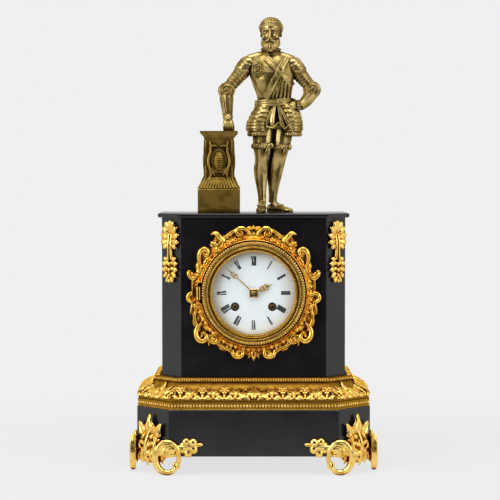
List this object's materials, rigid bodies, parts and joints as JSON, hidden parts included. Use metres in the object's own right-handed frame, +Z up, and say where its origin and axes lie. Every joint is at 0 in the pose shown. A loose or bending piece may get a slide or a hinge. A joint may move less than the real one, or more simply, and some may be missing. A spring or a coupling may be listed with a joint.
{
  "type": "figural mantel clock",
  "caption": "Mantel clock: black stone case on gilt scroll feet, round enamel dial in a gilt rococo surround, cast figure in armour leaning on a pedestal on top.",
  "frame": {"origin": "on the floor under the middle of the clock's overall box", "axes": "+Z up, -Y towards the dial's viewer, +X to the viewer's right"},
  "size_m": [0.2746, 0.166, 0.5037],
  "materials": {
    "black_slate": "polished",
    "gilt_bronze": "fire gilt, burnished and matted",
    "patinated_bronze": "worn brown-gold patina",
    "white_enamel": "fired enamel",
    "clear_glass": "clear",
    "gilt_hands": "pierced and gilt",
    "movement_brass": "grained",
    "bell_metal": "turned",
    "steel": "polished"
  },
  "bodies": {
    "case": {"base_block": "black_slate", "front_moulding": "gilt_bronze", "corner_mouldings": "gilt_bronze", "side_mouldings": "gilt_bronze", "front_panel": "black_slate", "left_corner_post": "black_slate", "right_corner_post": "black_slate", "left_side_panel": "black_slate", "right_side_panel": "black_slate", "back_panel": "black_slate", "top_slab": "black_slate", "left_front_foot": "gilt_bronze", "right_front_foot": "gilt_bronze", "rear_feet": "movement_brass", "left_corner_mount": "gilt_bronze", "right_corner_mount": "gilt_bronze", "dial_surround": "gilt_bronze", "bezel_seat": "gilt_bronze", "dial": "white_enamel", "hinge_pins": "steel", "front_plate": "movement_brass", "back_plate": "movement_brass", "plate_pillars": "movement_brass", "movement_straps": "movement_brass", "suspension_cock": "movement_brass", "bell_stand": "movement_brass", "bell": "bell_metal", "back_ring": "movement_brass", "pedestal": "patinated_bronze", "figure_head": "patinated_bronze", "figure_torso": "patinated_bronze", "figure_tassets": "patinated_bronze", "figure_right_arm": "patinated_bronze", "figure_left_arm": "patinated_bronze", "figure_right_leg": "patinated_bronze", "figure_left_leg": "patinated_bronze", "figure_fixings": "steel"},
    "bezel_door": {"bezel_ring": "gilt_bronze", "bezel_glass": "clear_glass", "bezel_slip": "gilt_bronze"},
    "rear_door": {"back_door": "movement_brass"},
    "minute_arbor": {"minute_hand": "gilt_hands", "cannon_pinion": "movement_brass", "centre_wheel": "movement_brass"},
    "hour_pipe": {"hour_hand": "gilt_hands", "hour_wheel": "movement_brass"},
    "minute_wheel_assembly": {"minute_wheel": "movement_brass"},
    "second_arbor": {"second_wheel": "movement_brass"},
    "third_arbor": {"third_wheel": "movement_brass"},
    "escape_arbor": {"escape_wheel": "movement_brass"},
    "going_drum": {"going_barrel": "movement_brass"},
    "strike_drum": {"strike_barrel": "movement_brass"},
    "pin_arbor": {"pin_wheel": "movement_brass"},
    "fly_arbor": {"fly": "movement_brass"},
    "going_winder": {"going_winding_arbor": "steel"},
    "strike_winder": {"strike_winding_arbor": "steel"},
    "pendulum": {"pendulum_rod": "steel", "pendulum_bob": "movement_brass"},
    "anchor": {"pallet_anchor": "steel"},
    "bell_hammer": {"hammer": "steel"}
  },
  "joints": [
    {"name": "bezel_hinge", "type": "hinge", "parent": "case", "child": "bezel_door", "pos_m": [-0.0605, -0.0565, 0.1973], "axis": [0, 0, -1], "range_deg": [0, 110]},
    {"name": "rear_door_hinge", "type": "hinge", "parent": "case", "child": "rear_door", "pos_m": [0.0595, 0.0743, 0.1973], "axis": [0, 0, -1], "range_deg": [0, 110]},
    {"name": "minute_turn", "type": "hinge", "parent": "case", "child": "minute_arbor", "pos_m": [0, 0, 0.1973], "axis": [0, 1, 0], "continuous": true},
    {"name": "hour_turn", "type": "hinge", "parent": "case", "child": "hour_pipe", "pos_m": [0, 0, 0.1973], "axis": [0, 1, 0], "continuous": true},
    {"name": "minute_wheel_turn", "type": "hinge", "parent": "case", "child": "minute_wheel_assembly", "pos_m": [0, 0, 0.1841], "axis": [0, 1, 0], "continuous": true},
    {"name": "second_turn", "type": "hinge", "parent": "case", "child": "second_arbor", "pos_m": [0.01539, 0, 0.20066], "axis": [0, 1, 0], "continuous": true},
    {"name": "third_turn", "type": "hinge", "parent": "case", "child": "third_arbor", "pos_m": [0.00363, 0, 0.21086], "axis": [0, 1, 0], "continuous": true},
    {"name": "escape_turn", "type": "hinge", "parent": "case", "child": "escape_arbor", "pos_m": [0, 0, 0.2228], "axis": [0, 1, 0], "continuous": true},
    {"name": "going_barrel_turn", "type": "hinge", "parent": "case", "child": "going_drum", "pos_m": [0.0205, 0, 0.1821], "axis": [0, 1, 0], "continuous": true},
    {"name": "strike_barrel_turn", "type": "hinge", "parent": "case", "child": "strike_drum", "pos_m": [-0.0205, 0, 0.1821], "axis": [0, 1, 0], "continuous": true},
    {"name": "pin_wheel_turn", "type": "hinge", "parent": "case", "child": "pin_arbor", "pos_m": [-0.01539, 0, 0.20066], "axis": [0, 1, 0], "continuous": true},
    {"name": "fly_turn", "type": "hinge", "parent": "case", "child": "fly_arbor", "pos_m": [-0.01771, 0, 0.21396], "axis": [0, 1, 0], "continuous": true},
    {"name": "going_winding", "type": "hinge", "parent": "case", "child": "going_winder", "pos_m": [0.0205, 0, 0.1821], "axis": [0, 1, 0], "range_deg": [0, 1440]},
    {"name": "strike_winding", "type": "hinge", "parent": "case", "child": "strike_winder", "pos_m": [-0.0205, 0, 0.1821], "axis": [0, 1, 0], "range_deg": [0, 1440]},
    {"name": "pendulum_swing", "type": "hinge", "parent": "case", "child": "pendulum", "pos_m": [0, 0.002, 0.2327], "axis": [0, 1, 0], "range_deg": [-4, 4]},
    {"name": "anchor_rock", "type": "hinge", "parent": "case", "child": "anchor", "pos_m": [0, 0, 0.2327], "axis": [0, 1, 0], "range_deg": [-4, 4]},
    {"name": "hammer_lift", "type": "hinge", "parent": "case", "child": "bell_hammer", "pos_m": [-0.033, 0, 0.2053], "axis": [0, 1, 0], "range_deg": [0, 12], "stiffness_Nm_per_rad": 0.005, "springref_deg": -11.46}
  ],
  "couplings": [
    {"joint": "hour_turn", "follows": "minute_turn", "ratio": 0.083333},
    {"joint": "minute_wheel_turn", "follows": "minute_turn", "ratio": -0.33333},
    {"joint": "second_turn", "follows": "minute_turn", "ratio": -0.16667},
    {"joint": "going_barrel_turn", "follows": "minute_turn", "ratio": 0.027778},
    {"joint": "third_turn", "follows": "minute_turn", "ratio": -12},
    {"joint": "escape_turn", "follows": "minute_turn", "ratio": 144},
    {"joint": "pin_wheel_turn", "follows": "strike_barrel_turn", "ratio": -6},
    {"joint": "fly_turn", "follows": "strike_barrel_turn", "ratio": 54},
    {"joint": "anchor_rock", "follows": "pendulum_swing", "ratio": 1}
  ]
}
